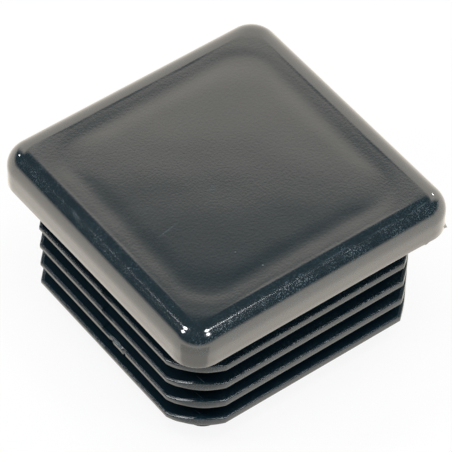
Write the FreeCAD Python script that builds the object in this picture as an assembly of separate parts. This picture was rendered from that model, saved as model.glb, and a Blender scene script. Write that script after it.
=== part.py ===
import FreeCAD, Part
import math
import os

# Ribbed end cap for a square tube, moulded in one piece.
# All sizes are in millimetres and all angles in degrees.
# The origin is the centre of the seat, which is the underside of the head that rests on the tube.
# +Z points out of the tube, through the head. The stem with its fins hangs down into the tube.

# The tube that the cap closes
tube_side = 40.0
tube_wall = 2.0

# Head: a square slab as wide as the tube, with rounded upright corners and a large rounded top edge
head_height = 5.05
head_edge_radius = 2.75
top_corner_radius = 0.95

# Crown: the top face rises very gently to its middle, inside a level rim
crown_height = 0.05
crown_slope_width = 10.1
crown_corner_radius = 4.2
crown_sections = 6
rim_width = 2.15

# Fins: thin square collars that grip the bore, with their corners cut by flat arcs
fin_count = 4
fin_pitch = 3.34
fin_edge_thickness = 0.9
fin_top_slope = 12.0
fin_reach = 3.0
fin_corner_cut = 5.0
fin_corner_bulge = 0.6
neck_height = 4.87

# Stem: the square tube wall that carries the fins, open at its lower end
stem_wall = 1.6
stem_corner_radius = 2.5
stem_tip_length = 3.6
stem_tip_chamfer = 0.35

# Hollow of the stem, which runs up into the head
top_thickness = 2.85
hollow_draft = 0.5
hollow_edge_radius = 0.7
ceiling_corner_radius = 0.4

# Tear in the edge of one fin, on the -X side, just past the middle of that side
nick_fin = 3
nick_offset = 2.95
nick_width = 2.7
nick_depth = 0.5
nick_lean = 0.4

# Sizes that follow from the ones above
bore_side = tube_side - 2.0 * tube_wall
head_half = tube_side / 2.0
head_corner_radius = head_edge_radius + top_corner_radius
slab_height = head_height - crown_height
crown_half = head_half - head_edge_radius - rim_width
fin_half = bore_side / 2.0
stem_half = fin_half - fin_reach
first_fin_underside = -(neck_height + fin_edge_thickness)
last_fin_underside = first_fin_underside - (fin_count - 1) * fin_pitch
stem_bottom = last_fin_underside - stem_tip_length
hollow_top = head_height - top_thickness
hollow_mouth_half = stem_half - stem_wall
hollow_corner_radius = hollow_edge_radius + ceiling_corner_radius

# How far one solid runs into the next, so that they join, and how far a cutter passes a face
merge = 0.5

# How far a point may lie from a level plane and still count as in it
level_tolerance = 0.001


def vec(x, y, z):
    """A point or direction."""
    return FreeCAD.Vector(x, y, z)


def rounded_square(half, radius, z):
    """Closed wire of a square with quarter-round corners, centred on the Z axis."""
    flat = half - radius
    bend = radius * math.sqrt(0.5)
    edges = []
    for quarter in range(4):
        turn = FreeCAD.Rotation(vec(0, 0, 1), 90.0 * quarter)
        side_start = turn.multVec(vec(half, -flat, z))
        side_end = turn.multVec(vec(half, flat, z))
        bend_middle = turn.multVec(vec(flat + bend, flat + bend, z))
        bend_end = turn.multVec(vec(flat, half, z))
        edges.append(Part.LineSegment(side_start, side_end).toShape())
        edges.append(Part.Arc(side_end, bend_middle, bend_end).toShape())
    return Part.Wire(edges)


def cut_corner_square(half, cut, bulge, z):
    """Closed wire of a square whose corners are cut by arcs that meet the sides at an angle."""
    middle = half - cut / 2.0 + bulge * math.sqrt(0.5)
    edges = []
    for quarter in range(4):
        turn = FreeCAD.Rotation(vec(0, 0, 1), 90.0 * quarter)
        side_start = turn.multVec(vec(half, -(half - cut), z))
        side_end = turn.multVec(vec(half, half - cut, z))
        arc_middle = turn.multVec(vec(middle, middle, z))
        arc_end = turn.multVec(vec(half - cut, half, z))
        edges.append(Part.LineSegment(side_start, side_end).toShape())
        edges.append(Part.Arc(side_end, arc_middle, arc_end).toShape())
    return Part.Wire(edges)


def square_points(half, z):
    """Corners of a square, closed back to the first."""
    signs = [(-1, -1), (1, -1), (1, 1), (-1, 1), (-1, -1)]
    return [vec(half * sx, half * sy, z) for sx, sy in signs]


def prism(wire, height):
    """Solid of a flat closed wire pulled along Z."""
    return Part.Face(wire).extrude(vec(0, 0, height))


def edges_at_height(solid, z):
    """The edges of a solid that lie in one level plane."""
    return [
        edge
        for edge in solid.Edges
        if all(abs(vertex.Point.z - z) < level_tolerance for vertex in edge.Vertexes)
    ]


def crown():
    """The gentle rise of the top face, which is level across its middle, with a block below to join it."""
    sections = []
    for step in range(crown_sections):
        share = step / (crown_sections - 1)
        half = crown_half - crown_slope_width * share
        rise = crown_height * math.sin(math.pi / 2.0 * share)
        radius = crown_corner_radius * half / crown_half
        sections.append(rounded_square(half, radius, slab_height + rise))
    dome = Part.makeLoft(sections, True)
    block = prism(rounded_square(crown_half, crown_corner_radius, slab_height), -merge)
    return dome.fuse(block)


def head():
    """Square slab with a rounded top edge and a crowned top face."""
    slab = prism(rounded_square(head_half, head_corner_radius, 0), slab_height)
    slab = slab.makeFillet(head_edge_radius, edges_at_height(slab, slab_height))
    return slab.fuse(crown())


def stem():
    """Solid square post below the head, with a chamfered lower edge."""
    post = prism(rounded_square(stem_half, stem_corner_radius, stem_bottom), merge - stem_bottom)
    return post.makeChamfer(stem_tip_chamfer, edges_at_height(post, stem_bottom))


def fin(underside):
    """One collar: flat below, sloping down to its edge above, so it is thickest at the stem."""
    run = fin_reach + merge
    rise = run * math.tan(math.radians(fin_top_slope))
    edge_top = underside + fin_edge_thickness
    outline = cut_corner_square(fin_half, fin_corner_cut, fin_corner_bulge, underside)
    collar = prism(outline, fin_edge_thickness + rise)
    rim = Part.makePlane(2 * fin_half, 2 * fin_half, vec(-fin_half, -fin_half, underside))
    band = rim.extrude(vec(0, 0, fin_edge_thickness))
    foot = Part.makePolygon(square_points(fin_half, edge_top))
    top = Part.makePolygon(square_points(fin_half - run, edge_top + rise))
    slope = Part.makeLoft([foot, top], True, True)
    return collar.common(band.fuse(slope))


def fins():
    """All collars, evenly spaced down the stem."""
    return [fin(first_fin_underside - index * fin_pitch) for index in range(fin_count)]


def hollow():
    """Cutter for the inside of the stem: it narrows slightly towards its closed top."""
    depth = hollow_top - stem_bottom
    top_half = hollow_mouth_half - depth * math.tan(math.radians(hollow_draft))
    mouth = rounded_square(hollow_mouth_half, hollow_corner_radius, stem_bottom)
    ceiling = rounded_square(top_half, hollow_corner_radius, hollow_top)
    pocket = Part.makeLoft([mouth, ceiling], True, True)
    return pocket.makeFillet(hollow_edge_radius, edges_at_height(pocket, hollow_top))


def nick():
    """Wedge cutter for the tear in one fin's edge: its width is measured in the face it opens through."""
    underside = first_fin_underside - (nick_fin - 1) * fin_pitch
    start = underside - merge
    tip = vec(-fin_half + nick_depth, -nick_offset - nick_lean, start)
    reach = (nick_depth + merge) / nick_depth
    outer = []
    for side in (1, -1):
        at_face = vec(-fin_half, -nick_offset + side * nick_width / 2.0, start)
        outer.append(tip + (at_face - tip) * reach)
    wedge = Part.Face(Part.makePolygon([tip] + outer + [tip]))
    return wedge.extrude(vec(0, 0, fin_edge_thickness + 2 * merge))


def end_cap():
    """The whole cap as one solid."""
    body = head().fuse([stem()] + fins()).removeSplitter()
    (solid,) = body.cut([hollow(), nick()]).Solids
    return solid


os.makedirs("parts", exist_ok=True)
cap = end_cap()
cap.exportStep("parts/end_cap.step")
print("end_cap", cap.isValid(), len(cap.Solids), "solid", round(cap.Volume, 1), "mm3", cap.BoundBox)
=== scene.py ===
"""The ribbed end cap of a square tube, moulded in one piece from black polyethylene, in a pale studio."""

import logging
import math
from dataclasses import dataclass, field
from enum import Enum

import bmesh
import bpy
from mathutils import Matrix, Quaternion, Vector, noise

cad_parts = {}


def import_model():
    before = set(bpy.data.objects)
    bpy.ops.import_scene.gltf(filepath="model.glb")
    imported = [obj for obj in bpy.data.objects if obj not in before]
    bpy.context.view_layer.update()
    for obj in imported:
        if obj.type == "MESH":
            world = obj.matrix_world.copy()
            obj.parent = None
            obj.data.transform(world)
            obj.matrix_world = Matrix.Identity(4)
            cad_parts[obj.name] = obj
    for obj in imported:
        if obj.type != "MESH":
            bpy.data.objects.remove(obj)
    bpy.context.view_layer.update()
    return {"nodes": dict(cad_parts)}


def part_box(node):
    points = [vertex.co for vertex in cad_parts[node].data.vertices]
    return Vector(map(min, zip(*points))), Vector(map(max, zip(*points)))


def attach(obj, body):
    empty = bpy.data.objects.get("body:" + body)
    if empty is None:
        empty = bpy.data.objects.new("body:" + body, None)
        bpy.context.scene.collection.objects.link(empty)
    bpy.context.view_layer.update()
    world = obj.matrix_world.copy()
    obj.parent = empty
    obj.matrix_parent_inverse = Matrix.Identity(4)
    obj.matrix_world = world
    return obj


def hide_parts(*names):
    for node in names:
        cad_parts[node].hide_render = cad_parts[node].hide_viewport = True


LOG = logging.getLogger("end_cap")

# Lengths are in metres and angles in degrees, unless a name says otherwise.
MM = 0.001
NODE = "end_cap"
BODY = "root"

# How far the middle of a quarter-round stands out past its chord, as a share of its radius.
ROUND_BULGE = 1.0 - math.sqrt(0.5)

# The four corners of a level loop, anticlockwise from the one at +X +Y.
QUADRANTS = ((1, 1), (-1, 1), (-1, -1), (1, -1))

# Names of the vertex attributes that tell the finish where it is.
# The scuff attribute holds real scuffs, and also painted sheen on the front edge and painted highlights at
# the fins' front corners.
SCUFF_AND_SHEEN = "scuff"
FIN = "fin"
DULL = "dull"


class Leave(Enum):
    """How a rounding leaves its first loop; it arrives at its last loop the other way."""

    LEVEL = "level"
    UPRIGHT = "upright"


def soft_step(low: float, high: float, value: float) -> float:
    """A soft rise.

    Args:
        low: where it starts.
        high: where it ends.
        value: the place asked for.

    Returns:
        0 before low, 1 after high, and a smooth rise between them.
    """
    share = min(1.0, max(0.0, (value - low) / (high - low)))
    return share * share * (3.0 - 2.0 * share)


def soft_bump(low: float, high: float, edge: float, value: float) -> float:
    """1 between low and high, falling softly to 0 over the width of edge on both sides."""
    return soft_step(low - edge, low, value) * (1.0 - soft_step(high, high + edge, value))


@dataclass(frozen=True)
class Corner:
    """One corner of an outline: the point where its two sides would meet, and the arc that cuts it off.

    cut_x is what the arc takes from the side that faces along X and cut_y from the side that faces along Y.
    bulge is how far the arc stands out past its chord.
    """

    x: float
    y: float
    cut_x: float
    cut_y: float
    bulge: float

    def on_x_side(self) -> Vector:
        """Where the arc meets the side that faces along X."""
        return Vector((self.x, self.y - math.copysign(self.cut_x, self.y), 0.0))

    def on_y_side(self) -> Vector:
        """Where the arc meets the side that faces along Y."""
        return Vector((self.x - math.copysign(self.cut_y, self.x), self.y, 0.0))

    def inset(self, depth: float) -> "Corner":
        """The corner moved in from both sides."""
        x = self.x - math.copysign(depth, self.x)
        y = self.y - math.copysign(depth, self.y)
        return Corner(x, y, self.cut_x, self.cut_y, self.bulge)

    def toward(self, other: "Corner", share: float) -> "Corner":
        """The corner that lies between this one and another."""
        pairs = zip(self.numbers(), other.numbers())
        return Corner(*[a + (b - a) * share for a, b in pairs])

    def numbers(self) -> tuple[float, ...]:
        """All sizes in order."""
        return (self.x, self.y, self.cut_x, self.cut_y, self.bulge)

    def arc(self, start: Vector, end: Vector, steps: int) -> list[Vector]:
        """Points along the corner's arc.

        Args:
            start: its first point.
            end: its last point, which isn't among the points returned.
            steps: how many steps it is divided into.

        Returns:
            The points from the first on.
        """
        half_chord = (end - start).length / 2.0
        along = (end - start).normalized()
        out = Vector((along.y, -along.x, 0.0))
        radius = (half_chord**2 + self.bulge**2) / (2.0 * self.bulge)
        middle = (start + end) / 2.0 + out * (self.bulge - radius)
        reach = math.asin(min(1.0, half_chord / radius))
        turns = [reach * (2.0 * i / steps - 1.0) for i in range(steps)]
        return [middle + out * radius * math.cos(turn) + along * radius * math.sin(turn) for turn in turns]


@dataclass(frozen=True)
class Outline:
    """A level loop of four sides and four corner arcs: one contour line of the cap.

    The corners run anticlockwise from the one at +X +Y. With a slope, the loop rises from z by the slope
    times its distance from the crest's sides.
    """

    corners: tuple[Corner, ...]
    z: float
    slope: float = 0.0
    crest: tuple[Corner, ...] = ()

    @classmethod
    def rounded(cls, half: float, radius: float, z: float) -> "Outline":
        """A square with quarter-round corners.

        Args:
            half: half the side.
            radius: radius of the corners.
            z: height of the loop.

        Returns:
            The outline.
        """
        bulge = radius * ROUND_BULGE
        return cls(tuple(Corner(sx * half, sy * half, radius, radius, bulge) for sx, sy in QUADRANTS), z)

    def toward(self, other: "Outline", share: float, climb: float | None = None) -> "Outline":
        """The outline that lies between this one and another.

        Args:
            other: the outline at share 1.
            share: how far towards the other, from 0 to 1.
            climb: how far towards the other's height, where that differs from share.

        Returns:
            The outline in between.
        """
        corners = tuple(a.toward(b, share) for a, b in zip(self.corners, other.corners))
        z = self.z + (other.z - self.z) * (share if climb is None else climb)
        slope = self.slope + (other.slope - self.slope) * share
        return Outline(corners, z, slope, other.crest or self.crest)

    def bent(self, other: "Outline", share: float, leave: Leave) -> "Outline":
        """As toward, along a quarter-round in section.

        Args:
            other: the outline at share 1.
            share: how far round, from 0 to 1.
            leave: how the quarter-round leaves this outline.

        Returns:
            The outline in between.
        """
        rise = math.sin(share * math.pi / 2.0)
        lag = 1.0 - math.cos(share * math.pi / 2.0)
        across, down = (rise, lag) if leave is Leave.LEVEL else (lag, rise)
        return self.toward(other, across, down)

    def climb(self, point: Vector) -> float:
        """How far a point lies inside the crest's nearest side, times the slope."""
        depths = []
        for start, end in zip(self.crest, self.crest[1:] + self.crest[:1]):
            side = Vector((end.x - start.x, end.y - start.y)).normalized()
            depths.append((point.y - start.y) * side.x - (point.x - start.x) * side.y)
        return self.slope * min(depths)

    def points(self, per_side: int, per_corner: int) -> list[Vector]:
        """The loop's points, anticlockwise seen from above, from the start of the +X side.

        Args:
            per_side: steps along each straight side.
            per_corner: steps round each corner.

        Returns:
            The points of the whole loop.
        """
        loop = []
        for index, corner in enumerate(self.corners):
            before = self.corners[index - 1]
            if index % 2 == 0:
                start, arc_start, arc_end = before.on_x_side(), corner.on_x_side(), corner.on_y_side()
            else:
                start, arc_start, arc_end = before.on_y_side(), corner.on_y_side(), corner.on_x_side()
            loop += [start.lerp(arc_start, i / per_side) for i in range(per_side)]
            loop += corner.arc(arc_start, arc_end, per_corner)
        for point in loop:
            point.z = self.z + (self.climb(point) if self.slope else 0.0)
        return loop


@dataclass
class Skin:
    """A closed skin that grows loop by loop with the extrude operator."""

    per_side: int
    per_corner: int
    mesh: bmesh.types.BMesh = field(default_factory=bmesh.new)
    loop: list[bmesh.types.BMVert] = field(default_factory=list)
    kept: dict[str, list[list[bmesh.types.BMVert]]] = field(default_factory=dict)
    last: Outline | None = None

    def begin(self, outline: Outline) -> None:
        """Lays the first loop, closed by a fan of faces.

        Args:
            outline: where the loop lies.
        """
        count = 4 * (self.per_side + self.per_corner)
        size = outline.corners[0].x
        made = bmesh.ops.create_circle(self.mesh, cap_ends=True, cap_tris=True, segments=count, radius=size)
        rim = [v for v in made["verts"] if v.co.length > size / 2.0]
        middle = next(v for v in made["verts"] if v not in rim)
        middle.co.z = outline.z
        self.loop = sorted(rim, key=lambda v: math.atan2(v.co.y, v.co.x))
        start = count // 2 - self.per_side // 2
        self.loop = self.loop[start:] + self.loop[:start]
        self.place(outline)

    def grow(self, outline: Outline, name: str = "") -> None:
        """Extrudes the open edge to the next outline.

        Args:
            outline: where the new loop lies.
            name: what the loop is kept under, if later steps need it.
        """
        ends = zip(self.loop, self.loop[1:] + self.loop[:1])
        made = bmesh.ops.extrude_edge_only(self.mesh, edges=[self.mesh.edges.get(pair) for pair in ends])
        new = {part for part in made["geom"] if isinstance(part, bmesh.types.BMVert)}
        self.loop = [next(e.other_vert(v) for e in v.link_edges if e.other_vert(v) in new) for v in self.loop]
        self.place(outline)
        if name:
            self.kept.setdefault(name, []).append(self.loop)

    def place(self, outline: Outline) -> None:
        """Moves the open edge onto an outline."""
        self.last = outline
        for vertex, point in zip(self.loop, outline.points(self.per_side, self.per_corner)):
            vertex.co = point

    def straight(self, outline: Outline, steps: int = 1, name: str = "") -> None:
        """Grows to an outline in even steps.

        Args:
            outline: where the last new loop lies.
            steps: how many loops.
            name: what the loops are kept under.
        """
        start = self.last
        for step in range(1, steps + 1):
            self.grow(start.toward(outline, step / steps), name)

    def rounding(self, outline: Outline, steps: int, leave: Leave, name: str = "") -> None:
        """Grows to an outline along a quarter-round in section.

        Args:
            outline: where the last new loop lies.
            steps: how many loops.
            leave: how the quarter-round leaves the open edge.
            name: what the loops are kept under.
        """
        start = self.last
        for step in range(1, steps + 1):
            self.grow(start.bent(outline, step / steps, leave), name)

    def close(self, z: float) -> None:
        """Draws the open edge together in one point on the axis.

        Args:
            z: height of the point.
        """
        self.grow(self.last)
        bmesh.ops.pointmerge(self.mesh, verts=self.loop, merge_co=(0.0, 0.0, z))
        bmesh.ops.recalc_face_normals(self.mesh, faces=self.mesh.faces[:])

    def paint(self, attribute: str, name: str, value: float) -> None:
        """Gives kept loops a value in a vertex attribute.

        Args:
            attribute: the attribute's name.
            name: what the loops were kept under.
            value: the value from 0 to 1.
        """
        layers = self.mesh.verts.layers.float
        layer = layers.get(attribute)
        for loop in self.kept.get(name, []):
            for vertex in loop:
                vertex[layer] = value

    def split_finish(self, attribute: str) -> None:
        """Gives the second finish to the faces whose corners all have an attribute."""
        layer = self.mesh.verts.layers.float.get(attribute)
        for face in self.mesh.faces:
            face.material_index = int(all(vertex[layer] > 0.5 for vertex in face.verts))


@dataclass
class Head:
    """The square head: a faintly crowned top face, a large rounded edge, and upright walls down to the seat.

    A shallow ring is sunk into the face above the stem's wall, where the thick plastic shrank as it cooled.
    """

    half: float
    height: float
    corner_radius: float = 3.7 * MM
    edge_radius: float = 2.75 * MM
    rim_land: float = 0.3 * MM
    crown: float = 0.045 * MM
    crown_from: float = 5.0 * MM
    ring_half: float = 14.8 * MM
    ring_depth: float = 0.031 * MM
    ring_width: float = 1.5 * MM
    ring_reach: float = 2.2
    ring_corner_radius: float = 4.2 * MM
    middle_roundness: float = 0.9
    lip_radius: float = 0.2 * MM
    wave_height: float = 0.006 * MM
    wave_length: float = 4.5 * MM
    wave_from: float = 4.0 * MM
    edge_scuff: float = 0.45
    # The front of the rounded edge is paler than its scuffs alone make it: partly scuffs, partly painted
    # sheen.
    front_scuff_and_sheen: float = 1.25
    scuffs: tuple[tuple[str, float], ...] = (("face", 0.12), ("ring", 0.14), ("rim", 0.35), ("wall", 0.1))
    face_loops: int = 10
    ring_loops: int = 20
    rim_loops: int = 2
    edge_loops: int = 14
    wall_loops: int = 3
    lip_loops: int = 3

    def face_outline(self, half: float) -> Outline:
        """A contour of the top face: nearly round at the middle, and a rounded square from the ring outwards.

        Args:
            half: half the contour's side.

        Returns:
            The contour, as low as the face is there.
        """
        within = min(half, self.ring_half)
        squareness = (within / self.ring_half) ** 2
        rounder = self.middle_roundness * within
        squarer = self.ring_corner_radius * within / self.ring_half
        radius = rounder + (squarer - rounder) * squareness + half - within
        sink = self.crown * soft_step(self.crown_from, self.ring_half, half)
        sink += self.ring_depth * math.exp(-(((half - self.ring_half) / self.ring_width) ** 2))
        return Outline.rounded(half, radius, self.height - sink)

    def build(self, skin: Skin) -> None:
        """Grows the head, from the middle of its face down to the seat.

        Args:
            skin: the skin of the whole cap, still empty.
        """
        inner_face = self.ring_half - self.ring_reach * self.ring_width
        skin.begin(self.face_outline(inner_face / self.face_loops / 2.0))
        for step in range(1, self.face_loops + 1):
            skin.grow(self.face_outline(inner_face * step / self.face_loops), "face")
        shoulder = self.half - self.edge_radius
        width = shoulder - self.rim_land - inner_face
        for step in range(1, self.ring_loops + 1):
            skin.grow(self.face_outline(inner_face + width * step / self.ring_loops), "ring")
        top = skin.last.z
        rim = Outline.rounded(shoulder, self.corner_radius - self.edge_radius, top)
        skin.straight(rim, self.rim_loops, "rim")
        below = self.height - self.edge_radius
        edge = Outline.rounded(self.half, self.corner_radius, below)
        skin.rounding(edge, self.edge_loops, Leave.LEVEL, "edge")
        wall = Outline.rounded(self.half, self.corner_radius, self.lip_radius)
        skin.straight(wall, self.wall_loops, "wall")
        lip = Outline.rounded(self.half - self.lip_radius, self.corner_radius - self.lip_radius, 0.0)
        skin.rounding(lip, self.lip_loops, Leave.UPRIGHT, "lip")
        self.scuff(skin)
        self.wave(skin)

    def scuff(self, skin: Skin) -> None:
        """Says how scuffed each part of the head is, most of all the rounded edge on the front, whose extra
        paleness is partly painted sheen.

        Args:
            skin: the skin, grown as far as the head's lower lip.
        """
        for name, scuff in self.scuffs:
            skin.paint(SCUFF_AND_SHEEN, name, scuff)
        layer = skin.mesh.verts.layers.float[SCUFF_AND_SHEEN]
        for loop in skin.kept["edge"]:
            for vertex in loop:
                front = 1.0 - soft_step(-self.half, -self.half + self.edge_radius, vertex.co.y)
                vertex[layer] = self.edge_scuff + (self.front_scuff_and_sheen - self.edge_scuff) * front

    def wave(self, skin: Skin) -> None:
        """Sinks the top face here and there by a few thousandths of a millimetre, as moulded plastic does.

        Args:
            skin: the skin, grown as far as the head's lower lip.
        """
        for loop in skin.kept["face"] + skin.kept["ring"]:
            for vertex in loop:
                fade = soft_step(0.0, self.wave_from, vertex.co.xy.length)
                vertex.co.z -= self.wave_height * fade * (1.0 + noise.noise(vertex.co / self.wave_length))


@dataclass
class Stem:
    """The hollow square stem, open below."""

    half: float
    bottom: float
    corner_radius: float = 2.5 * MM
    wall: float = 1.6 * MM
    tip_chamfer: float = 0.35 * MM
    ceiling: float = 2.2 * MM
    draft: float = 0.5
    hollow_corner_radius: float = 1.1 * MM
    hollow_edge_radius: float = 0.7 * MM
    root_radius: float = 0.3 * MM
    neck_loops: int = 3
    tip_loops: int = 3
    rim_loops: int = 2
    hollow_loops: int = 4
    ceiling_loops: int = 5

    def outline(self, z: float) -> Outline:
        """The stem's outside at a height."""
        return Outline.rounded(self.half, self.corner_radius, z)

    def neck(self, skin: Skin) -> None:
        """Grows the underside of the head inwards, and turns down into the stem.

        Args:
            skin: the skin, grown as far as the head's lower lip.
        """
        root = Outline.rounded(self.half + self.root_radius, self.corner_radius + self.root_radius, 0.0)
        skin.straight(root, self.neck_loops, "neck")
        skin.rounding(self.outline(-self.root_radius), self.neck_loops, Leave.LEVEL, "neck")

    def tip(self, skin: Skin) -> None:
        """Grows the lower end of the stem and its hollow, and closes the skin.

        Args:
            skin: the skin, grown as far as the last fin.
        """
        slant = self.tip_chamfer
        inner = self.half - self.wall
        skin.straight(self.outline(self.bottom + slant), self.tip_loops, "tip")
        skin.straight(Outline.rounded(self.half - slant, self.corner_radius - slant, self.bottom), 1, "tip")
        skin.straight(Outline.rounded(inner, self.hollow_corner_radius, self.bottom), self.rim_loops, "tip")
        top_half = inner - (self.ceiling - self.bottom) * math.tan(math.radians(self.draft))
        edge = self.hollow_edge_radius
        wall = Outline.rounded(top_half, self.hollow_corner_radius, self.ceiling - edge)
        skin.straight(wall, self.hollow_loops, "hollow")
        ceiling = Outline.rounded(top_half - edge, self.hollow_corner_radius - edge, self.ceiling)
        skin.rounding(ceiling, self.hollow_loops, Leave.UPRIGHT, "hollow")
        middle = Outline.rounded(top_half / self.ceiling_loops, self.hollow_edge_radius, self.ceiling)
        skin.straight(middle, self.ceiling_loops, "hollow")
        skin.close(self.ceiling)
        for name in ("neck", "tip", "hollow"):
            skin.paint(FIN, name, 1.0)
        for name in ("neck", "hollow"):
            skin.paint(DULL, name, 1.0)


@dataclass
class Fins:
    """The four thin collars that grip the tube's bore: flat below, sloping down to their edges above.

    The soft plastic is a little out of square, so each corner has a place and a cut of its own.
    """

    stem: Stem
    count: int = 4
    pitch: float = 3.34 * MM
    first_underside: float = -5.77 * MM
    thickness: float = 0.9 * MM
    top_slope: float = 12.0
    reach: float = 3.0 * MM
    brow_width: float = 0.3 * MM
    upper_rounding: float = 0.12 * MM
    lower_rounding: float = 0.08 * MM
    root_radius: float = 0.22 * MM
    root_loops: int = 2
    top_loops: int = 3
    brow_loops: int = 3
    face_loops: int = 2
    foot_loops: int = 2
    corners: tuple[Corner, ...] = (
        Corner(18.1 * MM, 18.3 * MM, 4.6 * MM, 4.6 * MM, 0.4 * MM),
        Corner(-18.12 * MM, 18.44 * MM, 4.82 * MM, 6.6 * MM, 0.4 * MM),
        Corner(-18.2 * MM, -17.8 * MM, 5.12 * MM, 5.12 * MM, 0.825 * MM),
        Corner(17.8 * MM, -17.75 * MM, 3.8 * MM, 3.85 * MM, 0.16 * MM),
    )

    def underside(self, index: int) -> float:
        """Height of a fin's underside, counted from the top one."""
        return self.first_underside - index * self.pitch

    def outline(self, inset: float, z: float, sloped: bool) -> Outline:
        """A contour of a fin.

        Args:
            inset: how far inside the fin's edge it lies.
            z: its height, which for a sloped contour is the height of the slope's foot.
            sloped: whether it follows the fin's sloping top.

        Returns:
            The contour.
        """
        slope = math.tan(math.radians(self.top_slope)) if sloped else 0.0
        return Outline(tuple(corner.inset(inset) for corner in self.corners), z, slope, self.corners)

    def build(self, skin: Skin) -> None:
        """Grows all fins, from the top one down.

        Args:
            skin: the skin, grown as far as the neck.
        """
        names = [f"fin_{index + 1}" for index in range(self.count)]
        for index, name in enumerate(names):
            self.grow_fin(skin, self.underside(index), name)
        for name in names:
            for part in ("_top", "_brow", "_face", "_foot"):
                skin.paint(FIN, name + part, 1.0)
            for part in ("_top", "_sole"):
                skin.paint(DULL, name + part, 1.0)
        skin.paint(FIN, "stem", 1.0)
        skin.paint(DULL, "stem", 1.0)

    def grow_fin(self, skin: Skin, underside: float, name: str) -> None:
        """Grows one fin and the stretch of stem above it.

        Args:
            skin: the skin so far.
            underside: height of the fin's underside.
            name: what its loops are kept under.
        """
        foot = underside + self.thickness
        root = foot + self.reach * math.tan(math.radians(self.top_slope))
        near_root = self.reach - self.root_radius
        skin.straight(self.stem.outline(root + self.root_radius), 1, "stem")
        skin.straight(self.outline(near_root, foot, True), self.root_loops, "stem")
        skin.straight(self.outline(self.brow_width, foot, True), self.top_loops, name + "_top")
        skin.straight(self.outline(self.upper_rounding, foot, True), 1, name + "_brow")
        brow = self.outline(0.0, foot - self.upper_rounding, True)
        skin.rounding(brow, self.brow_loops, Leave.LEVEL, name + "_brow")
        face = self.outline(0.0, underside + self.lower_rounding, False)
        skin.straight(face, self.face_loops, name + "_face")
        sole = self.outline(self.lower_rounding, underside, False)
        skin.rounding(sole, self.foot_loops, Leave.UPRIGHT, name + "_foot")
        skin.kept[name + "_sole"] = skin.kept[name + "_foot"][-1:]
        skin.straight(self.outline(near_root, underside, False), self.root_loops, "stem")
        skin.rounding(self.stem.outline(underside - self.root_radius), self.root_loops, Leave.LEVEL, "stem")


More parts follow.
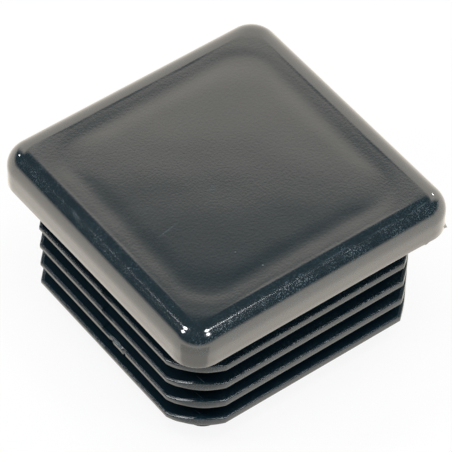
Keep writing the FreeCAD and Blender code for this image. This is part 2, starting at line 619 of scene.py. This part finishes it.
@dataclass
class Flaws:
    """The moulding's flaws: the fins' parting step, torn edge and rough flash, and the head's uneven lip.

    A notch is given by its y and its depth. A nub of flash is given by its x and y, how far it stands out and
    how far it hangs down, and a sag of the lip by its x and y, its reach and its depth. tear_parts says how
    much of the flap's drop and of the burr each part of the torn fin takes.
    """

    fins: Fins
    left_side: float = -17.7 * MM
    front_side: float = -17.3 * MM
    side_edge: float = 0.6 * MM
    slope_edge: float = 2.6 * MM
    parting_y: float = 0.5 * MM
    parting_drop: float = 0.2 * MM
    parting_run: float = 2.1 * MM
    left_sag: float = 0.12 * MM
    thin_left: float = 0.28 * MM
    last_step_share: float = 0.35
    front_brow_lift: float = 0.09 * MM
    front_foot_lift: float = 0.05 * MM
    torn_fin: int = 3
    flap_from: float = -3.6 * MM
    flap_to: float = -1.75 * MM
    flap_edge: float = 0.25 * MM
    flap_drop: float = 0.2 * MM
    flap_grain: float = 0.4 * MM
    flap_level: float = 0.9
    flap_unevenness: float = 0.4
    notches: tuple[tuple[float, float], ...] = ((-1.4 * MM, 0.16 * MM), (-3.95 * MM, 0.2 * MM))
    notch_width: float = 0.22 * MM
    burr_y: float = -3.75 * MM
    burr_drop: float = 0.3 * MM
    burr_width: float = 0.16 * MM
    tear_parts: tuple[tuple[str, float, float], ...] = (
        ("_brow", 1.0, 0.2),
        ("_face", 0.9, 0.6),
        ("_foot", 0.8, 1.0),
    )
    corner_reach: float = 31.0 * MM
    corner_edge: float = 2.0 * MM
    # The fins' front corners are pale and rough: partly scuffs, partly a painted soft highlight.
    corner_scuff_and_highlight: float = 1.1
    nubs: tuple[tuple[float, float, float, float], ...] = (
        (18.9 * MM, -18.9 * MM, 0.35 * MM, 0.3 * MM),
        (15.2 * MM, -20.0 * MM, 0.0, 0.18 * MM),
    )
    nub_half_width: float = 0.275 * MM
    lip_sags: tuple[tuple[float, float, float, float], ...] = (
        (-20.0 * MM, 18.0 * MM, 14.0 * MM, 0.35 * MM),
        (19.5 * MM, -20.0 * MM, 5.0 * MM, 0.25 * MM),
    )
    flash: tuple[float, ...] = (0.07 * MM, 0.05 * MM, 0.03 * MM, 0.02 * MM)
    flash_scuff: tuple[float, ...] = (0.9, 0.6, 0.45, 0.3)
    flash_grain: float = 0.35 * MM

    def on_left(self, place: Vector, edge: float) -> float:
        """How much a point belongs to the -X side of a fin: 1 at the side, 0 once edge further in."""
        return 1.0 - soft_step(self.left_side, self.left_side + edge, place.x)

    def on_front(self, place: Vector, edge: float) -> float:
        """How much a point belongs to the -Y side of a fin: 1 at the side, 0 once edge further in."""
        return 1.0 - soft_step(self.front_side, self.front_side + edge, place.y)

    def drop(self, place: Vector, index: int) -> float:
        """How far the top of a fin lies below its true height.

        Args:
            place: a point of it.
            index: the fin, counted from the top one.

        Returns:
            The drop, which is negative where the top stands higher.
        """
        past = self.parting_y - place.y
        left = self.left_sag + self.thin_left
        if past > 0.0:
            step = self.parting_drop * max(0.0, 1.0 - past / self.parting_run)
            step *= self.last_step_share if index == self.fins.count - 1 else 1.0
            left += step
        left *= self.on_left(place, self.slope_edge)
        return left - self.front_brow_lift * self.on_front(place, self.slope_edge)

    def ruffle(self, place: Vector, index: int) -> float:
        """How far the flash on the front side of a fin stands up."""
        height = self.flash[index] * noise.noise(place / self.flash_grain)
        return height * self.on_front(place, self.side_edge)

    def build(self, skin: Skin) -> None:
        """Moves the kept loops of the fins and of the head's lower lip.

        Args:
            skin: the finished skin.
        """
        for index in range(self.fins.count):
            self.bend_fin(skin, index)
        for x, y, reach, sag in self.lip_sags:
            self.sag_lip(skin, Vector((x, y)), reach, sag)
        for x, y, out, down in self.nubs:
            self.raise_nub(skin, Vector((x, y)), out, down)
        for part, share, burr in self.tear_parts:
            for loop in skin.kept[f"fin_{self.torn_fin}{part}"]:
                self.tear(loop, share, burr)

    def bend_fin(self, skin: Skin, index: int) -> None:
        """Bends one fin's edge out of true and makes its front side rough.

        Args:
            skin: the finished skin.
            index: the fin, counted from the top one.
        """
        name = f"fin_{index + 1}"
        for loop in skin.kept[name + "_top"] + skin.kept[name + "_brow"]:
            for vertex in loop:
                vertex.co.z -= self.drop(vertex.co, index)
        for loop in skin.kept[name + "_brow"]:
            for vertex in loop:
                vertex.co.z += self.ruffle(vertex.co, index)
        for loop in skin.kept[name + "_foot"] + skin.kept[name + "_face"][-1:]:
            for vertex in loop:
                vertex.co.z += self.front_foot_lift * self.on_front(vertex.co, self.side_edge)
                vertex.co.z -= self.left_sag * self.on_left(vertex.co, self.side_edge)
        self.mark_flash(skin, name, self.flash_scuff[index])

    def sag_lip(self, skin: Skin, place: Vector, reach: float, sag: float) -> None:
        """Lets a stretch of the head's lower lip hang a little.

        Args:
            skin: the finished skin.
            place: its middle, seen from above.
            reach: how far along the lip it fades.
            sag: how far its middle hangs.
        """
        for loop in skin.kept["lip"] + skin.kept["wall"][-1:]:
            for vertex in loop:
                away = (vertex.co.xy - place).length / reach
                vertex.co.z -= sag * math.exp(-(away**2))

    def tear(self, loop: list[bmesh.types.BMVert], share: float, burr: float) -> None:
        """Bends a stretch of one loop down as a torn flap, with a notch at each end and a burr below.

        Args:
            loop: the loop's vertices.
            share: how much of the flap's drop and the notches' depth this loop takes.
            burr: how much of the burr it takes.
        """
        for vertex in (v for v in loop if v.co.x < 0.0):
            y = vertex.co.y
            uneven = self.flap_level + self.flap_unevenness * noise.noise(vertex.co / self.flap_grain)
            flap = soft_bump(self.flap_from, self.flap_to, self.flap_edge, y)
            vertex.co.z -= self.flap_drop * share * uneven * flap
            vertex.co.z -= self.burr_drop * burr * math.exp(-(((y - self.burr_y) / self.burr_width) ** 2))
            for notch_y, depth in self.notches:
                vertex.co.x += depth * share * math.exp(-(((y - notch_y) / self.notch_width) ** 2))

    def raise_nub(self, skin: Skin, place: Vector, out: float, down: float) -> None:
        """Draws a small nub of flash out of the head's lower lip.

        Args:
            skin: the finished skin.
            place: where it lies, seen from above.
            out: how far it stands out.
            down: how far it hangs down.
        """
        away = place.normalized()
        for loop in skin.kept["lip"]:
            for vertex in loop:
                near = math.exp(-(((vertex.co.xy - place).length / self.nub_half_width) ** 2))
                vertex.co.xy += away * out * near
                vertex.co.z -= down * near

    def mark_flash(self, skin: Skin, name: str, scuff: float) -> None:
        """Marks the upper edge of one fin's front side and front corner as rough and pale; at the front
        corner the pale is partly a painted soft highlight.

        Args:
            skin: the finished skin.
            name: what the fin's loops were kept under.
            scuff: how rough it is.
        """
        layer = skin.mesh.verts.layers.float[SCUFF_AND_SHEEN]
        for part in ("_top", "_brow", "_face"):
            for loop in skin.kept[name + part]:
                for vertex in loop:
                    reach = -vertex.co.x - vertex.co.y
                    corner = soft_step(self.corner_reach, self.corner_reach + self.corner_edge, reach)
                    front = self.on_front(vertex.co, self.side_edge)
                    vertex[layer] = max(scuff * front, self.corner_scuff_and_highlight * corner)


@dataclass(frozen=True)
class Mark:
    """A small pale mark on the surface, seen from above: a tapered scratch, a speck, a smudge, a painted
    highlight or a piece of a painted reflection.

    x, y and z are its middle, angle is measured from +X towards +Y, and strength is how pale it is. Unless z
    is given, it lies on the head.
    """

    x: float
    y: float
    angle: float
    half_length: float
    half_width: float
    strength: float
    z: float = 4.5 * MM
    half_height: float = 4.4 * MM


MARKS = (
    Mark(-11.3 * MM, -3.45 * MM, 10.0, 2.4 * MM, 0.13 * MM, 0.42),
    Mark(-12.4 * MM, -2.2 * MM, 38.0, 1.1 * MM, 0.08 * MM, 0.28),
    Mark(-12.9 * MM, -0.9 * MM, -35.0, 0.9 * MM, 0.07 * MM, 0.24),
    Mark(-14.1 * MM, -0.75 * MM, 5.0, 0.35 * MM, 0.14 * MM, 0.32),
    Mark(-5.4 * MM, -14.4 * MM, 80.0, 0.22 * MM, 0.12 * MM, 0.9),
    Mark(-6.8 * MM, -10.9 * MM, 20.0, 0.14 * MM, 0.13 * MM, 0.8),
    Mark(-15.2 * MM, 8.5 * MM, 60.0, 0.16 * MM, 0.1 * MM, 0.5),
    Mark(1.9 * MM, -8.0 * MM, 60.0, 0.15 * MM, 0.1 * MM, 0.45),
    Mark(-3.9 * MM, -6.1 * MM, 88.0, 0.9 * MM, 0.07 * MM, 0.3),
    Mark(-5.5 * MM, -7.0 * MM, 91.0, 3.2 * MM, 0.06 * MM, 0.12),
    Mark(6.6 * MM, 7.3 * MM, 4.0, 1.1 * MM, 0.3 * MM, 0.16),
    Mark(10.7 * MM, 2.3 * MM, 60.0, 0.3 * MM, 0.13 * MM, 0.3),
    Mark(-2.9 * MM, -1.2 * MM, 15.0, 1.2 * MM, 0.5 * MM, 0.12),
    Mark(-18.5 * MM, 5.1 * MM, 80.0, 1.3 * MM, 0.3 * MM, 0.3),
    # The marks at y -18.1 to -18.2 mm, along the top of the rounded edge on the -Y side, are a painted
    # reflection of a lamp, broken into pieces.
    Mark(-4.7 * MM, -18.1 * MM, 10.0, 0.5 * MM, 0.2 * MM, 0.45),
    Mark(-2.7 * MM, -18.1 * MM, 0.0, 0.4 * MM, 0.15 * MM, 0.4),
    Mark(-8.5 * MM, -18.8 * MM, 60.0, 0.9 * MM, 0.25 * MM, 0.25),
    Mark(15.6 * MM, -18.1 * MM, 3.0, 1.3 * MM, 0.16 * MM, 0.5),
    Mark(2.6 * MM, -18.1 * MM, 1.0, 3.4 * MM, 0.14 * MM, 0.4),
    Mark(9.6 * MM, -18.2 * MM, -1.0, 2.6 * MM, 0.12 * MM, 0.35),
    # The next three marks are thin pale lines in the gaps below the top three fins, near the front corner:
    # painted highlights.
    Mark(-15.35 * MM, -15.66 * MM, -80.9, 0.95 * MM, 0.07 * MM, 0.9, -7.9 * MM, 0.8 * MM),
    Mark(-15.37 * MM, -15.42 * MM, -79.4, 0.95 * MM, 0.07 * MM, 0.9, -11.2 * MM, 0.8 * MM),
    Mark(-15.39 * MM, -15.31 * MM, -72.9, 0.75 * MM, 0.06 * MM, 0.8, -14.6 * MM, 0.8 * MM),
    # This mark lies on the torn flap of the third fin: a painted sheen.
    Mark(-18.15 * MM, -2.6 * MM, 90.0, 0.9 * MM, 0.3 * MM, 0.9, -12.0 * MM, 0.4 * MM),
)


def linear(hex_colour: str) -> tuple[float, float, float, float]:
    """Turns an sRGB hex value to linear light.

    Args:
        hex_colour: six hex digits.

    Returns:
        Red, green, blue and alpha.
    """
    shares = [int(hex_colour[i:i + 2], 16) / 255.0 for i in (0, 2, 4)]
    return (*[s / 12.92 if s <= 0.04045 else ((s + 0.055) / 1.055) ** 2.4 for s in shares], 1.0)


def add_node(
    tree: bpy.types.NodeTree, kind: str, inputs: dict | None = None, **settings: object
) -> bpy.types.Node:
    """Adds a node with its settings and links.

    Args:
        tree: the node tree.
        kind: the node's type name.
        inputs: value or output socket by input name or number.
        settings: the node's own properties.

    Returns:
        The node.
    """
    node = tree.nodes.new(kind)
    for name, value in settings.items():
        setattr(node, name, value)
    for name, value in (inputs or {}).items():
        if isinstance(value, bpy.types.NodeSocket):
            tree.links.new(value, node.inputs[name])
        else:
            node.inputs[name].default_value = value
    return node


@dataclass(frozen=True)
class BlackPolyethylene:
    """Moulded low-density polyethylene, coloured black right through.

    Its skin copies a polished mould, so a sharp gloss lies over a softer one. Handling leaves pale scuffs,
    most of all on the rounded edge. The fins are scraped by the mould as they leave it, and have only the
    softer gloss. The same pale colour also paints sheen on the front of the rounded edge, soft highlights
    at the fins' front corners, and a few small highlights and reflections. Where the fin attribute is set,
    the body colour is darker and bluer: painted shade.
    """

    name: str = "moulded_black_polyethylene"
    body_hex: str = "182126"
    fin_painted_shade_hex: str = "0f2833"
    scuff_and_sheen_hex: str = "53666e"
    ior: float = 1.8
    coat_roughness: float = 0.05
    smooth_roughness: float = 0.11
    fin_roughness: float = 0.25
    scuffed_roughness: float = 0.38
    fin_coat: float = 0.0
    # The real grain and grit are too fine to show, so both are drawn as coarse as they need to show.
    grain_mm: float = 0.3
    grain_detail: float = 2.0
    grit_mm: float = 0.18
    grit_detail: float = 3.0
    # The scuffs come in patches of about 2 mm.
    patch_mm: float = 2.2
    patch_detail: float = 3.0
    grit_from: float = 0.49
    grit_full: float = 0.72
    patch_from: float = 0.3
    patch_full: float = 0.62
    gap_below: float = 0.4
    gap_above: float = 0.6
    gap_share: float = 0.45
    mark_core: float = 0.4
    grain_height_mm: float = 0.004
    grit_height_mm: float = 0.004

    def build(self) -> bpy.types.Material:
        """Makes the material.

        Returns:
            The material.
        """
        material = bpy.data.materials.new(self.name)
        material.use_nodes = True
        tree = material.node_tree
        tree.nodes.clear()
        place = add_node(tree, "ShaderNodeTexCoord").outputs["Object"]
        millimetres = add_node(tree, "ShaderNodeVectorMath", {0: place, "Scale": 1.0 / MM}, operation="SCALE")
        spot = millimetres.outputs[0]
        scuff_and_sheen_zone = add_node(tree, "ShaderNodeAttribute", attribute_name=SCUFF_AND_SHEEN).outputs["Fac"]
        fin_zone = add_node(tree, "ShaderNodeAttribute", attribute_name=FIN).outputs["Fac"]
        grain, grit, patch = (
            add_node(
                tree, "ShaderNodeTexNoise", {"Vector": spot, "Scale": 1.0 / size, "Detail": detail}
            ).outputs["Fac"]
            for size, detail in (
                (self.grain_mm, self.grain_detail),
                (self.grit_mm, self.grit_detail),
                (self.patch_mm, self.patch_detail),
            )
        )
        # The scuff masks make the surface pale for real scuffs, and also for painted sheen and highlights
        # where the scuff attribute carries them.
        limits = {"From Min": self.grit_from, "From Max": self.grit_full}
        grits = add_node(tree, "ShaderNodeMapRange", {"Value": grit, **limits})
        limits = {"From Min": self.patch_from, "From Max": self.patch_full}
        patches = add_node(tree, "ShaderNodeMapRange", {"Value": patch, **limits})
        scuffed = add_node(
            tree, "ShaderNodeMath", {0: grits.outputs[0], 1: patches.outputs[0]}, operation="MULTIPLY"
        )
        scuffed = add_node(
            tree, "ShaderNodeMath", {0: scuffed.outputs[0], 1: scuff_and_sheen_zone}, operation="MULTIPLY"
        )
        limits = {"From Min": self.gap_below, "From Max": self.gap_above, "To Min": self.gap_share}
        broken = add_node(tree, "ShaderNodeMapRange", {"Value": grit, **limits})
        marks = self.add_marks(tree, place)
        marked = add_node(tree, "ShaderNodeMath", {0: marks, 1: broken.outputs[0]}, operation="MULTIPLY")
        pale = add_node(
            tree, "ShaderNodeMath", {0: scuffed.outputs[0], 1: marked.outputs[0]}, operation="MAXIMUM"
        ).outputs[0]
        # Where the fin attribute is set (fins, stem and hollow), the body colour turns darker and bluer:
        # painted shade.
        body = add_node(
            tree,
            "ShaderNodeMix",
            {0: fin_zone, 6: linear(self.body_hex), 7: linear(self.fin_painted_shade_hex)},
            data_type="RGBA",
        )
        colour = add_node(
            tree,
            "ShaderNodeMix",
            {0: pale, 6: body.outputs[2], 7: linear(self.scuff_and_sheen_hex)},
            data_type="RGBA",
        )
        dull = add_node(
            tree,
            "ShaderNodeMapRange",
            {"Value": fin_zone, "To Min": self.smooth_roughness, "To Max": self.fin_roughness},
        )
        roughness = add_node(
            tree,
            "ShaderNodeMix",
            {0: pale, 2: dull.outputs[0], 3: self.scuffed_roughness},
            data_type="FLOAT",
        )
        worn = add_node(tree, "ShaderNodeMath", {0: fin_zone, 1: pale}, operation="MAXIMUM")
        coat = add_node(
            tree, "ShaderNodeMapRange", {"Value": worn.outputs[0], "To Min": 1.0, "To Max": self.fin_coat}
        )
        bumps = add_node(tree, "ShaderNodeMath", {0: grit, 1: scuff_and_sheen_zone}, operation="MULTIPLY")
        grit_height = add_node(
            tree,
            "ShaderNodeMath",
            {0: bumps.outputs[0], 1: self.grit_height_mm * MM},
            operation="MULTIPLY",
        )
        height = add_node(
            tree,
            "ShaderNodeMath",
            {0: grain, 1: self.grain_height_mm * MM, 2: grit_height.outputs[0]},
            operation="MULTIPLY_ADD",
        )
        heights = {"Height": height.outputs[0], "Strength": 1.0, "Distance": 1.0}
        bump = add_node(tree, "ShaderNodeBump", heights)
        surface = add_node(
            tree,
            "ShaderNodeBsdfPrincipled",
            {
                "Base Color": colour.outputs[2],
                "Roughness": roughness.outputs[0],
                "IOR": self.ior,
                "Coat Weight": coat.outputs[0],
                "Coat Roughness": self.coat_roughness,
                "Coat IOR": self.ior,
                "Normal": bump.outputs[0],
                "Coat Normal": bump.outputs[0],
            },
        )
        add_node(tree, "ShaderNodeOutputMaterial", {"Surface": surface.outputs["BSDF"]})
        return material

    def add_marks(self, tree: bpy.types.NodeTree, place: bpy.types.NodeSocket) -> bpy.types.NodeSocket:
        """Adds the small marks: scratches, specks and smudges, and some painted highlights and pieces of
        painted reflection.

        Args:
            tree: the node tree.
            place: the point in metres.

        Returns:
            How pale the strongest mark makes the surface.
        """
        pale: bpy.types.NodeSocket | float = 0.0
        for mark in MARKS:
            near = add_node(
                tree,
                "ShaderNodeMapping",
                {
                    "Vector": place,
                    "Location": (mark.x, mark.y, mark.z),
                    "Rotation": (0.0, 0.0, math.radians(mark.angle)),
                    "Scale": (mark.half_length, mark.half_width, mark.half_height),
                },
                vector_type="TEXTURE",
            )
            away = add_node(tree, "ShaderNodeVectorMath", {0: near.outputs[0]}, operation="LENGTH")
            limits = {"From Min": 1.0, "From Max": self.mark_core, "To Max": mark.strength}
            shown = add_node(tree, "ShaderNodeMapRange", {"Value": away.outputs["Value"], **limits})
            paler = add_node(tree, "ShaderNodeMath", {0: pale, 1: shown.outputs[0]}, operation="MAXIMUM")
            pale = paler.outputs[0]
        return pale


# The head and the fins' edges copy polished steel, so they mirror the studio and show pale scuffs, with
# painted sheen and highlights among them. The fins' edges are darker and bluer: painted shade.
POLISHED = BlackPolyethylene()

# The stem and the fins' flats lie in the mould's unpolished grooves, so they stay dull. Their nearly black,
# bluer colour is painted shade.
UNPOLISHED = BlackPolyethylene(
    "unpolished_black_polyethylene", fin_painted_shade_hex="0b1f29", ior=1.12, fin_roughness=0.6, scuffed_roughness=0.6
)


@dataclass
class Cap:
    """The whole cap as one closed mesh."""

    half: float
    height: float
    bottom: float
    per_side: int = 136
    per_corner: int = 20
    stem_inset: float = 5.0 * MM
    crease: float = 40.0

    def build(self) -> bpy.types.Object:
        """Builds the mesh and its object.

        Returns:
            The object.
        """
        skin = Skin(self.per_side, self.per_corner)
        for name in (SCUFF_AND_SHEEN, FIN, DULL):
            skin.mesh.verts.layers.float.new(name)
        stem = Stem(self.half - self.stem_inset, self.bottom)
        fins = Fins(stem)
        Head(self.half, self.height).build(skin)
        stem.neck(skin)
        fins.build(skin)
        stem.tip(skin)
        Flaws(fins).build(skin)
        skin.split_finish(DULL)
        mesh = bpy.data.meshes.new("cap_moulding")
        skin.mesh.to_mesh(mesh)
        skin.mesh.free()
        for polygon in mesh.polygons:
            polygon.use_smooth = True
        mesh.set_sharp_from_angle(angle=math.radians(self.crease))
        piece = bpy.data.objects.new("cap_moulding", mesh)
        bpy.context.scene.collection.objects.link(piece)
        for finish in (POLISHED, UNPOLISHED):
            mesh.materials.append(finish.build())
        return piece


@dataclass(frozen=True)
class SoftLamp:
    """A soft lamp that faces the cap.

    azimuth is measured from +Y towards +X. level is the light it gives a level surface, where 1 shows a
    colour as it is written.
    """

    name: str
    azimuth: float
    elevation: float
    level: float
    width: float
    depth: float
    mirrored: bool = True
    distance: float = 1.0

    def build(self) -> None:
        """Adds the lamp to the scene."""
        around, up = math.radians(self.azimuth), math.radians(self.elevation)
        toward = Vector((math.sin(around) * math.cos(up), math.cos(around) * math.cos(up), math.sin(up)))
        data = bpy.data.lights.new(self.name, "AREA")
        data.shape = "RECTANGLE"
        data.size = self.width
        data.size_y = self.depth
        data.energy = self.level * math.pi**2 * self.distance**2 / math.sin(up)
        lamp = bpy.data.objects.new(self.name, data)
        lamp.location = toward * self.distance
        lamp.rotation_euler = toward.to_track_quat("Z", "Y").to_euler()
        lamp.visible_glossy = self.mirrored
        bpy.context.scene.collection.objects.link(lamp)


LAMPS = (
    SoftLamp("overhead_lamp", 218.0, 82.0, 0.55, 0.55, 0.55, False),
    SoftLamp("left_lamp", -45.0, 58.5, 0.12, 0.18, 0.18),
    SoftLamp("left_low_lamp", -62.0, 45.0, 0.10, 0.18, 0.18),
    SoftLamp("front_lamp", 137.5, 67.5, 0.115, 0.18, 0.18),
    SoftLamp("front_low_lamp", 160.5, 53.0, 0.115, 0.18, 0.18),
    SoftLamp("back_left_lamp", -17.3, 34.0, 0.012, 0.06, 0.06),
    SoftLamp("back_right_lamp", 77.6, 28.1, 0.012, 0.06, 0.06),
)


@dataclass
class Studio:
    """A pale floor with a white sweep behind the cap, dim surroundings and a few soft lamps.

    The cap mirrors the floor a little warmer and brighter than the camera sees it.
    """

    floor_z: float
    floor_half: float = 1.5
    floor_hex: str = "f4f4f4"
    floor_seen: float = 0.9
    mirrored_strength: float = 1.13
    warm_hex: str = "fff7eb"
    sweep_hex: str = "fff7eb"
    room_hex: str = "3d5058"
    shade_x: float = -16.0 * MM
    shade_y: float = -13.0 * MM
    shade_blur: float = 3.0 * MM
    shade_depth: float = 0.35
    ring_full: float = 8.0
    ring_gone: float = 22.0
    sweep_mirrored: float = 1.06
    sweep_azimuth: float = 48.0
    sweep_half_width: float = 48.0
    sweep_side_blur: float = 0.12
    sweep_edge: float = 48.0
    sweep_edge_blur: float = 0.15
    sweep_edge_share: float = 0.2
    sweep_full: float = 43.8
    sweep_gone: float = 51.6

    def build(self) -> None:
        """Adds the floor, the surroundings and the lamps."""
        self.build_floor()
        self.build_world()
        for lamp in LAMPS:
            lamp.build()

    def build_floor(self) -> None:
        """Adds the floor as one large level face."""
        grown = bmesh.new()
        bmesh.ops.create_grid(grown, x_segments=1, y_segments=1, size=self.floor_half)
        bmesh.ops.translate(grown, verts=grown.verts, vec=(0.0, 0.0, self.floor_z))
        mesh = bpy.data.meshes.new("studio_floor")
        grown.to_mesh(mesh)
        grown.free()
        floor = bpy.data.objects.new("studio_floor", mesh)
        bpy.context.scene.collection.objects.link(floor)
        material = bpy.data.materials.new("painted_studio_floor")
        material.use_nodes = True
        tree = material.node_tree
        tree.nodes.clear()
        path = add_node(tree, "ShaderNodeLightPath")
        paint = add_node(tree, "ShaderNodeBsdfDiffuse", {"Color": linear(self.floor_hex)})
        white = add_node(tree, "ShaderNodeEmission", {"Color": (1.0, 1.0, 1.0, 1.0), "Strength": 1.0})
        warm = add_node(
            tree, "ShaderNodeEmission", {"Color": linear(self.warm_hex), "Strength": self.front_shade(tree)}
        )
        direct = path.outputs["Is Camera Ray"]
        seen = add_node(tree, "ShaderNodeMath", {0: direct, 1: self.floor_seen}, operation="MULTIPLY")
        shown = add_node(
            tree, "ShaderNodeMixShader", {0: seen.outputs[0], 1: paint.outputs[0], 2: white.outputs[0]}
        )
        shown = add_node(
            tree,
            "ShaderNodeMixShader",
            {0: path.outputs["Is Glossy Ray"], 1: shown.outputs[0], 2: warm.outputs[0]},
        )
        add_node(tree, "ShaderNodeOutputMaterial", {"Surface": shown.outputs[0]})
        mesh.materials.append(material)

    def front_shade(self, tree: bpy.types.NodeTree) -> bpy.types.NodeSocket:
        """Adds the strength of the floor's mirror image, which is dimmer in front of the cap's near corner.

        Args:
            tree: the node tree.

        Returns:
            The strength.
        """
        place = add_node(tree, "ShaderNodeTexCoord").outputs["Object"]
        axes = add_node(tree, "ShaderNodeSeparateXYZ", {0: place})
        shares = []
        for axis, start in (("X", self.shade_x), ("Y", self.shade_y)):
            limits = {"From Min": start, "From Max": start - self.shade_blur}
            share = add_node(tree, "ShaderNodeMapRange", {"Value": axes.outputs[axis], **limits})
            shares.append(share.outputs[0])
        shaded = add_node(tree, "ShaderNodeMath", {0: shares[0], 1: shares[1]}, operation="MULTIPLY")
        dimmed = self.mirrored_strength * (1.0 - self.shade_depth)
        limits = {"To Min": self.mirrored_strength, "To Max": dimmed}
        return add_node(tree, "ShaderNodeMapRange", {"Value": shaded.outputs[0], **limits}).outputs[0]

    def edge_below(
        self, tree: bpy.types.NodeTree, height: bpy.types.NodeSocket, full: float, gone: float, share: float
    ) -> bpy.types.NodeSocket:
        """Adds a light that fades with the height of the direction.

        Args:
            tree: the node tree.
            height: sine of the direction's elevation.
            full: elevation up to which the light is full.
            gone: elevation at which it is gone.
            share: how bright it is when full.

        Returns:
            The brightness.
        """
        limits = {
            "From Min": math.sin(math.radians(gone)),
            "From Max": math.sin(math.radians(full)),
            "To Max": share,
        }
        return add_node(tree, "ShaderNodeMapRange", {"Value": height, **limits}).outputs[0]

    def build_world(self) -> None:
        """Makes the surroundings: a white sweep, high behind the cap and low all round, and a dim room."""
        world = bpy.data.worlds.new("studio")
        bpy.context.scene.world = world
        world.use_nodes = True
        tree = world.node_tree
        tree.nodes.clear()
        way = add_node(tree, "ShaderNodeTexCoord").outputs["Generated"]
        height = add_node(tree, "ShaderNodeSeparateXYZ", {0: way}).outputs["Z"]
        fade = self.edge_below(tree, height, self.sweep_full, self.sweep_gone, 1.0 - self.sweep_edge_share)
        blur = self.sweep_edge_blur
        edge = self.edge_below(
            tree, height, self.sweep_edge - blur, self.sweep_edge + blur, self.sweep_edge_share
        )
        lit = add_node(tree, "ShaderNodeMath", {0: fade, 1: edge}, operation="ADD")
        level_way = add_node(tree, "ShaderNodeVectorMath", {0: way, 1: (1.0, 1.0, 0.0)}, operation="MULTIPLY")
        level_way = add_node(tree, "ShaderNodeVectorMath", {0: level_way.outputs[0]}, operation="NORMALIZE")
        around = math.radians(self.sweep_azimuth)
        facing = add_node(
            tree,
            "ShaderNodeVectorMath",
            {0: level_way.outputs[0], 1: (math.sin(around), math.cos(around), 0.0)},
            operation="DOT_PRODUCT",
        )
        side = math.cos(math.radians(self.sweep_half_width))
        behind = add_node(
            tree,
            "ShaderNodeMapRange",
            {
                "Value": facing.outputs["Value"],
                "From Min": side - self.sweep_side_blur,
                "From Max": side + self.sweep_side_blur,
            },
            interpolation_type="SMOOTHSTEP",
        )
        share = add_node(
            tree, "ShaderNodeMath", {0: lit.outputs[0], 1: behind.outputs[0]}, operation="MULTIPLY"
        )
        ring = self.edge_below(tree, height, self.ring_full, self.ring_gone, 1.0)
        share = add_node(tree, "ShaderNodeMath", {0: share.outputs[0], 1: ring}, operation="MAXIMUM")
        colour = add_node(
            tree,
            "ShaderNodeMix",
            {0: share.outputs[0], 6: linear(self.room_hex), 7: linear(self.sweep_hex)},
            data_type="RGBA",
        )
        path = add_node(tree, "ShaderNodeLightPath")
        shown = add_node(
            tree,
            "ShaderNodeMix",
            {0: path.outputs["Is Camera Ray"], 6: colour.outputs[2], 7: (1.0, 1.0, 1.0, 1.0)},
            data_type="RGBA",
        )
        brighter = self.sweep_mirrored - 1.0
        mirrored = path.outputs["Is Glossy Ray"]
        strength = add_node(
            tree, "ShaderNodeMath", {0: mirrored, 1: brighter, 2: 1.0}, operation="MULTIPLY_ADD"
        ).outputs[0]
        light = add_node(tree, "ShaderNodeBackground", {"Color": shown.outputs[2], "Strength": strength})
        add_node(tree, "ShaderNodeOutputWorld", {"Surface": light.outputs[0]})


@dataclass(frozen=True)
class View:
    """The camera, at the photograph's angle. azimuth is measured from +Y towards +X."""

    azimuth: float = 217.931
    elevation: float = 48.574
    roll: float = 1.28
    distance: float = 446.64 * MM
    aim_right: float = 0.09 * MM
    aim_up: float = -3.226 * MM
    lens_mm: float = 293.5
    sensor_mm: float = 36.0
    nearest: float = 0.01
    furthest: float = 10.0

    def build(self) -> None:
        """Adds the camera and makes it the scene's own."""
        around, up = math.radians(self.azimuth), math.radians(self.elevation)
        back = Vector((math.sin(around) * math.cos(up), math.cos(around) * math.cos(up), math.sin(up)))
        turn = back.to_track_quat("Z", "Y") @ Quaternion((0.0, 0.0, 1.0), math.radians(self.roll))
        data = bpy.data.cameras.new("camera")
        data.lens = self.lens_mm
        data.sensor_width = self.sensor_mm
        data.clip_start = self.nearest
        data.clip_end = self.furthest
        camera = bpy.data.objects.new("camera", data)
        camera.rotation_mode = "QUATERNION"
        camera.rotation_quaternion = turn
        camera.location = back * self.distance + turn @ Vector((self.aim_right, self.aim_up, 0.0))
        bpy.context.scene.collection.objects.link(camera)
        bpy.context.scene.camera = camera


def corners(box: tuple[Vector, Vector]) -> list[list[float]]:
    """The lowest and highest corner of a box as plain lists."""
    return [list(box[0]), list(box[1])]


def main() -> None:
    """Builds the cap round the fixed frame, then the studio and the camera."""
    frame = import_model()
    LOG.info("frame: %s", ", ".join(sorted(frame["nodes"])))
    low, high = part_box(NODE)
    piece = Cap(high.x, high.z, low.z).build()
    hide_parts(NODE)
    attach(piece, BODY)
    LOG.info("%s: %d faces", piece.name, len(piece.data.polygons))
    Studio(low.z).build()
    View().build()
    bpy.context.scene.view_settings.view_transform = "Standard"


if __name__ == "__main__":
    logging.basicConfig(level=logging.INFO, format="%(message)s")
    main()
